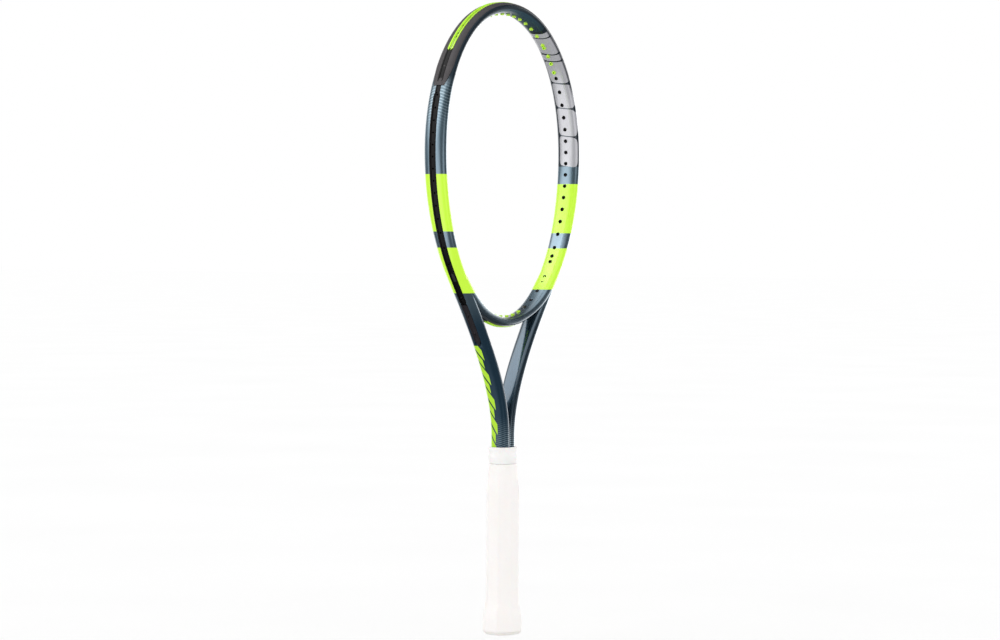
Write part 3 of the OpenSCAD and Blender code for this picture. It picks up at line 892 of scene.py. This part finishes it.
class Finish:
    """One material and the nodes it is made of."""

    def __init__(self, name):
        self.material = bpy.data.materials.new(name)
        self.material.use_nodes = True
        self.tree = self.material.node_tree
        self.shader = self.tree.nodes["Principled BSDF"]
        self.place = self.tree.nodes.new("ShaderNodeTexCoord").outputs["Object"]

    def set(self, **values):
        for name, value in values.items():
            feed(self.tree, self.shader.inputs[name.replace("_", " ")], value)

    def axes(self):
        """x, y and z of the point, in metres."""
        node = self.tree.nodes.new("ShaderNodeSeparateXYZ")
        self.tree.links.new(self.place, node.inputs[0])
        return [Field(self.tree, s) for s in node.outputs]

    def mark(self, name):
        """A value stored on the mesh."""
        node = self.tree.nodes.new("ShaderNodeAttribute")
        node.attribute_name = name
        return Field(self.tree, node.outputs["Fac"])

    def noise(self, size, detail=2.0, stretch=(1, 1, 1)):
        """Cloudy noise with features of about a size, from 0 to 1."""
        scaled = self.tree.nodes.new("ShaderNodeMapping")
        scaled.inputs["Scale"].default_value = stretch
        self.tree.links.new(self.place, scaled.inputs["Vector"])
        node = self.tree.nodes.new("ShaderNodeTexNoise")
        node.inputs["Scale"].default_value = 1 / size
        node.inputs["Detail"].default_value = detail
        self.tree.links.new(scaled.outputs[0], node.inputs["Vector"])
        return Field(self.tree, node.outputs["Fac"])

    def cells(self, size, feature="F1", output="Distance"):
        node = self.tree.nodes.new("ShaderNodeTexVoronoi")
        node.feature = feature
        node.inputs["Scale"].default_value = 1 / size
        self.tree.links.new(self.place, node.inputs["Vector"])
        return Field(self.tree, node.outputs[output])

    def blend(self, share, under, over):
        """Colour over laid on colour under, by a share from 0 to 1."""
        node = self.tree.nodes.new("ShaderNodeMix")
        node.data_type = "RGBA"
        for slot, value in ((node.inputs[0], share), (node.inputs[6], under), (node.inputs[7], over)):
            feed(self.tree, slot, value)
        return node.outputs[2]

    def bump(self, height, distance, strength=1.0):
        node = self.tree.nodes.new("ShaderNodeBump")
        node.inputs["Distance"].default_value = distance
        node.inputs["Strength"].default_value = strength
        self.tree.links.new(height.socket, node.inputs["Height"])
        return node.outputs["Normal"]


def rgb(red, green, blue):
    """Colour given as 0 to 255 on a screen, in the renderer's linear values."""
    parts = [c / 255 for c in (red, green, blue)]
    return tuple(c / 12.92 if c < 0.04045 else ((c + 0.055) / 1.055) ** 2.4 for c in parts) + (1.0,)


SLATE = rgb(92, 114, 127)
DEEP_TEAL = rgb(28, 52, 68)
LIME = rgb(204, 255, 52)
SILVER = rgb(184, 184, 190)


# ---- materials ----

def frame_paint():
    """Metallic slate lacquer under a clear coat, with lime bands, silver blocks and fine stripes."""
    f = Finish("frame_paint")
    x, y, z = f.axes()
    out = f.mark("out")
    run = f.mark("run")
    turned_y = y * x.op("SIGN")    # the same on both sides after half a turn of the racket
    flakes = f.cells(0.35 * MM)
    cloud = f.noise(30 * MM)
    shaft = z.rise(*SHAFT_PAINT_Z).invert()
    base = lacquer(f, z, shaft, cloud, flakes)

    stripes = stripe_mask(z, y, out)
    base = f.blend(stripes, base, rgb(166, 188, 198))
    panel, border = panel_masks(run, turned_y, out)
    base = f.blend(border, base, rgb(40, 52, 63))
    base = f.blend(panel, base, SILVER)
    # Outer faces of the shafts: a duller finish, and painted shade in the colour that darkens them so they
    # show less reflected light.
    matte_and_painted_shade = shaft * out.rise(-4 * MM, -1 * MM) * turned_y.rise(-7.5 * MM, -6.5 * MM)
    base = f.blend(matte_and_painted_shade * 0.5, base, rgb(20, 40, 54))
    rim = z.rise(*RIM_PAINT_Z) * out.rise(-3 * MM, -1 * MM)
    base = f.blend(rim * 0.85, base, rgb(28, 36, 44))
    dull = matte_and_painted_shade.op("MAXIMUM", rim).op("MAXIMUM", z.rise(*TIP_DULL_Z))
    groove = y.band(-3.3 * MM, 3.3 * MM) * out.rise(2 * MM, 2.4 * MM) * z.rise(318 * MM, 320 * MM)
    bars = shaft_mark_mask(z, turned_y, out)
    base = f.blend(bars, base, rgb(178, 226, 58))
    lime = lime_mask(z, x)
    base = f.blend(lime, base, LIME)
    base = f.blend(groove, base, rgb(22, 24, 27))
    lime = lime.op("MAXIMUM", bars)

    peel = f.noise(2.5 * MM, 1.0)
    f.set(
        Base_Color=base,
        Metallic=lime.op("MAXIMUM", panel * 0.75).op("MAXIMUM", dull * 0.7).invert() * 0.72,
        Roughness=cloud * 0.06 + (lime * 0.12 + 0.27),
        Specular_IOR_Level=(dull * 0.85).invert() * 0.5,
        Coat_Weight=(dull * 0.95).op("MAXIMUM", lime * 0.4).invert() * 0.9,
        Coat_Roughness=peel * 0.02 + 0.04,
        Coat_IOR=1.5,
        Normal=f.bump(flakes * 0.15 + peel, 0.015 * MM),
    )
    return f.material


def lacquer(f, z, shaft, cloud, flakes):
    """Slate with fine metal flakes, darker over the head and navy down the shafts."""
    base = f.blend(cloud * 0.25, SLATE, rgb(82, 104, 118))
    base = f.blend(z.rise(*HEAD_PAINT_Z) * 0.9, base, rgb(42, 68, 80))
    base = f.blend(shaft * 0.95, base, DEEP_TEAL)
    return f.blend(flakes.rise(0.1, 0.4).invert() * 0.12, base, rgb(150, 172, 184))


def stripe_mask(z, y, out):
    """Fine cross stripes that fade out along the hoop's shoulders and over the foot of the throat."""
    arch = (y / (10 * MM)).op("POWER", 2.0) * 2.5 * MM
    fine = ((z + arch) / (2.1 * MM)).op("FRACT").band(0.5, 0.85, 0.12)
    wide = ((z + arch) / (3.1 * MM)).op("FRACT").band(0.5, 0.8, 0.14)
    shoulder = z.band(*SHOULDER_Z, 14 * MM) * out.rise(-4 * MM, 0)
    foot = z.rise(*FOOT_Z).invert()
    return (wide * shoulder * 0.4).op("MAXIMUM", fine * foot * 0.75)


def lime_mask(z, x):
    """Two lime bands round the hoop. Their far edges tilt slightly from one side to the other."""
    blur = 0.05 * MM
    above = (z - x * 0.018).rise(LIME_LOW_Z - blur, LIME_LOW_Z + blur)
    below = (z + x * 0.019).rise(LIME_HIGH_Z - blur, LIME_HIGH_Z + blur).invert()
    return above * below * z.band(*LIME_GAP_Z).invert()


def rounded(along, across, length, width, power=5.0):
    """1 inside a block with rounded corners, centred on zero."""
    total = ((along / (length / 2)).op("ABSOLUTE").op("POWER", power)
             + (across / (width / 2)).op("ABSOLUTE").op("POWER", power))
    return total.rise(0.94, 1.06).invert()


def panel_masks(run, turned_y, out):
    """Row of plain silver blocks on the hoop's inner face, and the dark border round them."""
    q = np.linspace(0, 4, 8001)
    length = run_along(centre(q))
    start, end = (
        float(np.interp(q_where(height, 1, 2.2, 3.95), q, length))
        for height in (PANEL_LOW_Z, PANEL_HIGH_Z)
    )
    stretch = (end - start) / sum(size + PANEL_GAP for size in PANEL_BLOCKS)
    middle = -2.4 * MM
    width = 21.5 * MM
    border = run.band(start - 0.6 * MM, end + 0.6 * MM) * turned_y.rise(11.4 * MM, 11.8 * MM).invert()
    border = border * out.rise(1.7 * MM, 2 * MM).invert()
    lean = run - turned_y * 0.15
    across = turned_y - middle
    blocks = across * 0.0
    for share in PANEL_BLOCKS:
        size = share * stretch
        along = lean - (start + size / 2)
        blocks = blocks.op("MAXIMUM", rounded(along, across, size, width, 7.0))
        start += size + PANEL_GAP
    return blocks * out.rise(0.9 * MM, 1.3 * MM).invert(), border


def shaft_mark_mask(z, turned_y, out):
    """Slanted lime bars of two widths down the outer face of each shaft."""
    slant = z + turned_y * 1.5
    cell = (slant / (27 * MM)).op("FRACT")
    wide = cell.band(0.1, 0.52, 0.02) * turned_y.band(-9.4 * MM, 1.2 * MM, 0.15 * MM)
    narrow = cell.band(0.62, 0.98, 0.02) * turned_y.band(-9.4 * MM, -1.4 * MM, 0.15 * MM)
    return wide.op("MAXIMUM", narrow) * out.rise(0, 0.6 * MM) * z.band(*MARKS_Z)


def plastic(name, colour, dark, roughness, grain=0.6 * MM):
    """Moulded plastic with a fine grain and slightly uneven colour."""
    f = Finish(name)
    cloud = f.noise(9 * MM)
    fine = f.noise(grain, 3.0)
    f.set(
        Base_Color=f.blend(cloud, dark, colour),
        Roughness=fine * 0.12 + roughness,
        Normal=f.bump(fine, 0.03 * MM, 0.6),
    )
    return f


def bumper_plastic():
    f = plastic("bumper_plastic", rgb(70, 67, 69), rgb(54, 51, 53), 0.4)
    f.set(Specular_IOR_Level=0.2)
    return f.material


def insert_plastic():
    """The shaft inserts' plastic, darker than the bumper's."""
    f = plastic("insert_plastic", rgb(42, 39, 43), rgb(32, 30, 33), 0.4)
    f.set(Specular_IOR_Level=0.1)
    return f.material


def lime_plastic(name, shaded_channel, black_ends):
    """Lime plastic, with painted shade down in the head strip's channel, or black at the throat strip's ends.
    """
    f = plastic(name, rgb(206, 255, 60), rgb(188, 242, 40), 0.3)
    x, y, z = f.axes()
    dark = x * 0.0
    if shaded_channel:
        out = f.mark("out")
        # Painted shade: the head strip's channel between its rails is coloured a darker olive.
        dark = y.band(-1.2 * MM, 1.2 * MM) * out.rise(3 * MM, 3.5 * MM)
    if black_ends:
        dark = x.op("ABSOLUTE").rise(34.5 * MM, 34.7 * MM)
    lime = f.shader.inputs["Base Color"].links[0].from_socket
    # Olive for the painted shade in the channel, black for the throat strip's ends.
    channel_shade_and_end_black = rgb(138, 178, 30) if shaded_channel else rgb(24, 26, 22)
    f.set(Base_Color=f.blend(dark, lime, channel_shade_and_end_black), Coat_Weight=0.2)
    return f.material


def black_plastic():
    f = plastic("black_plastic", rgb(14, 13, 15), rgb(8, 8, 9), 0.3)
    f.set(Specular_IOR_Level=0.09)
    return f.material


def white_plastic():
    f = plastic("white_plastic", rgb(243, 240, 236), rgb(232, 229, 224), 0.42)
    f.set(Subsurface_Weight=0.1, Subsurface_Scale=2 * MM)
    return f.material


def grip_leather():
    """Soft off-white wrap with a fine pressed grain."""
    f = Finish("grip_wrap")
    pores = f.cells(0.7 * MM, "DISTANCE_TO_EDGE")
    cloud = f.noise(14 * MM, 3.0, (1, 1, 0.4))
    fine = f.noise(0.5 * MM, 3.0)
    colour = f.blend(cloud * 0.7, rgb(253, 250, 248), rgb(247, 243, 240))
    f.set(
        Base_Color=f.blend(pores.rise(0.0, 0.12).invert() * 0.25, colour, rgb(233, 226, 221)),
        Roughness=fine * 0.15 + 0.5,
        Sheen_Weight=0.2,
        Sheen_Roughness=0.5,
        Subsurface_Weight=0.08,
        Subsurface_Scale=1.2 * MM,
        Normal=f.bump(pores.rise(0.0, 0.2) * 0.7 + fine * 0.4, 0.06 * MM, 0.7),
    )
    return f.material


def collar_rubber():
    f = plastic("collar_rubber", rgb(250, 248, 247), rgb(240, 238, 237), 0.48, 0.9 * MM)
    f.set(Subsurface_Weight=0.1, Subsurface_Scale=1.5 * MM)
    return f.material


def core_foam():
    """Moulded foam with closed cells."""
    f = Finish("core_foam")
    pits = f.cells(1.1 * MM)
    cloud = f.noise(8 * MM)
    f.set(
        Base_Color=f.blend(cloud, rgb(176, 150, 112), rgb(196, 172, 134)),
        Roughness=0.85,
        Normal=f.bump(pits, 0.2 * MM, 0.8),
    )
    return f.material


def staple_steel():
    """Drawn steel wire."""
    f = Finish("staple_steel")
    streak = f.noise(0.4 * MM, 2.0, (0.05, 1, 1))
    f.set(
        Base_Color=f.blend(streak, rgb(176, 178, 182), rgb(206, 208, 212)),
        Metallic=1.0,
        Roughness=streak * 0.2 + 0.25,
        Normal=f.bump(streak, 0.01 * MM, 0.5),
    )
    return f.material


def tape_film():
    """White finishing tape with a faint weave."""
    f = Finish("white_tape")
    x, y, z = f.axes()
    weave = (z / (0.35 * MM)).op("FRACT").band(0.2, 0.8, 0.1)
    cloud = f.noise(4 * MM)
    f.set(
        Base_Color=f.blend(cloud, rgb(236, 236, 236), rgb(246, 246, 244)),
        Roughness=cloud * 0.1 + 0.35,
        Normal=f.bump(weave, 0.02 * MM, 0.5),
    )
    return f.material


# ---- the racket ----

def dress_racket():
    """Builds every visible piece, puts it on its node and gives the hidden CAD nodes their materials."""
    paint = frame_paint()
    dark = bumper_plastic()
    insert_dark = insert_plastic()
    head_lime = lime_plastic("lime_plastic", True, False)
    throat_lime = lime_plastic("lime_plastic_throat", False, True)
    black = black_plastic()
    white = white_plastic()
    place(build_frame(), "frame_tube", paint)
    place(build_ring(), "throat_bridge", paint)
    place(build_bumper(), "head_bumper", dark)
    place(build_head_strip(), "head_grommet_strip", head_lime)
    for hand, mirrored in (("right", False), ("left", True)):
        strip = build_side_strip("strip_" + hand, mirrored)
        place(strip, "side_grommet_strip_" + hand, black)
        insert = build_insert("insert_" + hand, mirrored)
        place(insert, "shaft_insert_" + hand, insert_dark)
    place(build_throat_strip(), "throat_grommet_strip", throat_lime)
    place(build_grip(), "base_grip", grip_leather())
    place(build_cap(), "butt_cap", white)
    place(build_door(), "butt_cap_door", white)
    place(build_tape(), "finishing_tape", tape_film())
    place(build_collar(), "grip_collar", collar_rubber())
    steel = staple_steel()
    for node, material in (("handle_core", core_foam()), ("butt_staples", steel), ("grip_start_tack", steel)):
        dressed = frame["nodes"][node]
        dressed.data.materials.clear()
        dressed.data.materials.append(material)


# ---- stage, light and camera ----

FLOOR_Z = -14.5 * MM           # just under the trap door when it is pulled out
FLOOR_HALF = 40.0
EVEN_LIGHT = 1.06
ROOM_GLOW = 0.14


def pale_floor():
    """Pale floor, clear from below. In reflections it shows the same room as the world does."""
    mesh = bpy.data.meshes.new("floor")
    corners = [(x * FLOOR_HALF, y * FLOOR_HALF, FLOOR_Z) for x, y in ((-1, -1), (1, -1), (1, 1), (-1, 1))]
    mesh.from_pydata(corners, [], [(0, 1, 2, 3)])
    floor = new_object("floor", mesh)
    f = Finish("pale_floor")
    tree = f.tree
    mirrored = Field(tree, tree.nodes.new("ShaderNodeLightPath").outputs["Is Glossy Ray"])
    geometry = tree.nodes.new("ShaderNodeNewGeometry")
    flip = tree.nodes.new("ShaderNodeVectorMath")
    flip.operation = "SCALE"
    flip.inputs["Scale"].default_value = -1
    tree.links.new(geometry.outputs["Incoming"], flip.inputs[0])
    pale = f.blend(f.noise(0.4), rgb(250, 250, 250), rgb(246, 246, 246))
    f.set(
        Base_Color=f.blend(mirrored, pale, (0, 0, 0, 1)),
        Roughness=0.9,
        Specular_IOR_Level=0,
        Alpha=Field(tree, geometry.outputs["Backfacing"]).invert(),
        Emission_Color=(1, 1, 1, 1),
        Emission_Strength=mirrored * reflected_room(tree, flip.outputs[0]),
    )
    mesh.materials.append(f.material)


def studio_world():
    """Even white light all round. In reflections it is a dim room with a few large soft panels."""
    world = bpy.data.worlds.new("studio")
    bpy.context.scene.world = world
    world.use_nodes = True
    tree = world.node_tree
    background = tree.nodes["Background"]
    ray = tree.nodes.new("ShaderNodeLightPath")
    seen = Field(tree, ray.outputs["Is Camera Ray"])
    even = Field(tree, ray.outputs["Is Diffuse Ray"])
    mirrored = Field(tree, ray.outputs["Is Glossy Ray"])
    look = tree.nodes.new("ShaderNodeTexCoord").outputs["Generated"]
    strength = seen + even * EVEN_LIGHT + mirrored * reflected_room(tree, look)
    tree.links.new(strength.socket, background.inputs["Strength"])
    background.inputs["Color"].default_value = (1, 1, 1, 1)


def reflected_room(tree, look):
    """Brightness of the studio in the direction that a reflected ray looks."""
    return (
        soft_panel(tree, look, -72, 38, 18, 42, 3.7)
        + soft_panel(tree, look, -58, -20, 16, 38, 2.4)
        + soft_panel(tree, look, 148, -4, 18, 38, 3.0)
        + soft_panel(tree, look, -150, 0, 14, 40, 1.6)
        + soft_panel(tree, look, 0, 76, 24, 52, 1.8)
        + soft_panel(tree, look, 26, -8, 10, 30, 1.3)
        + ROOM_GLOW
    )


def soft_panel(tree, look, side, height, inner, outer, amount):
    """Glow round a direction, in degrees: side goes from the camera toward the picture's right."""
    a = math.radians(CAMERA_AZIMUTH + side)
    e = math.radians(height)
    aim = tree.nodes.new("ShaderNodeVectorMath")
    aim.operation = "DOT_PRODUCT"
    tree.links.new(look, aim.inputs[0])
    aim.inputs[1].default_value = (math.sin(a) * math.cos(e), -math.cos(a) * math.cos(e), math.sin(e))
    near = Field(tree, aim.outputs["Value"])
    return near.rise(math.cos(math.radians(outer)), math.cos(math.radians(inner))) * amount


CAMERA_AZIMUTH = -55.9
CAMERA_DISTANCE = 3.031
CAMERA_HEIGHT = 0.4156
CAMERA_ROLL = 0.3
AIM_HEIGHT = 0.341
AIM_LEFT = 0.0039


def photo_camera():
    """Camera at the height of the throat, aimed just left of the racket's middle."""
    data = bpy.data.cameras.new("camera")
    data.lens = 100.6
    camera = bpy.data.objects.new("camera", data)
    a = math.radians(CAMERA_AZIMUTH)
    camera.location = (CAMERA_DISTANCE * math.sin(a), -CAMERA_DISTANCE * math.cos(a), CAMERA_HEIGHT)
    aim = Vector((-AIM_LEFT * math.cos(a), -AIM_LEFT * math.sin(a), AIM_HEIGHT))
    turn = (aim - camera.location).to_track_quat("-Z", "Y").to_matrix().to_4x4()
    camera.rotation_euler = (turn @ Matrix.Rotation(math.radians(CAMERA_ROLL), 4, "Z")).to_euler()
    bpy.context.scene.collection.objects.link(camera)
    bpy.context.scene.camera = camera


def build_stage():
    pale_floor()
    studio_world()
    photo_camera()
    bpy.context.scene.view_settings.view_transform = "Standard"


dress_racket()
build_stage()
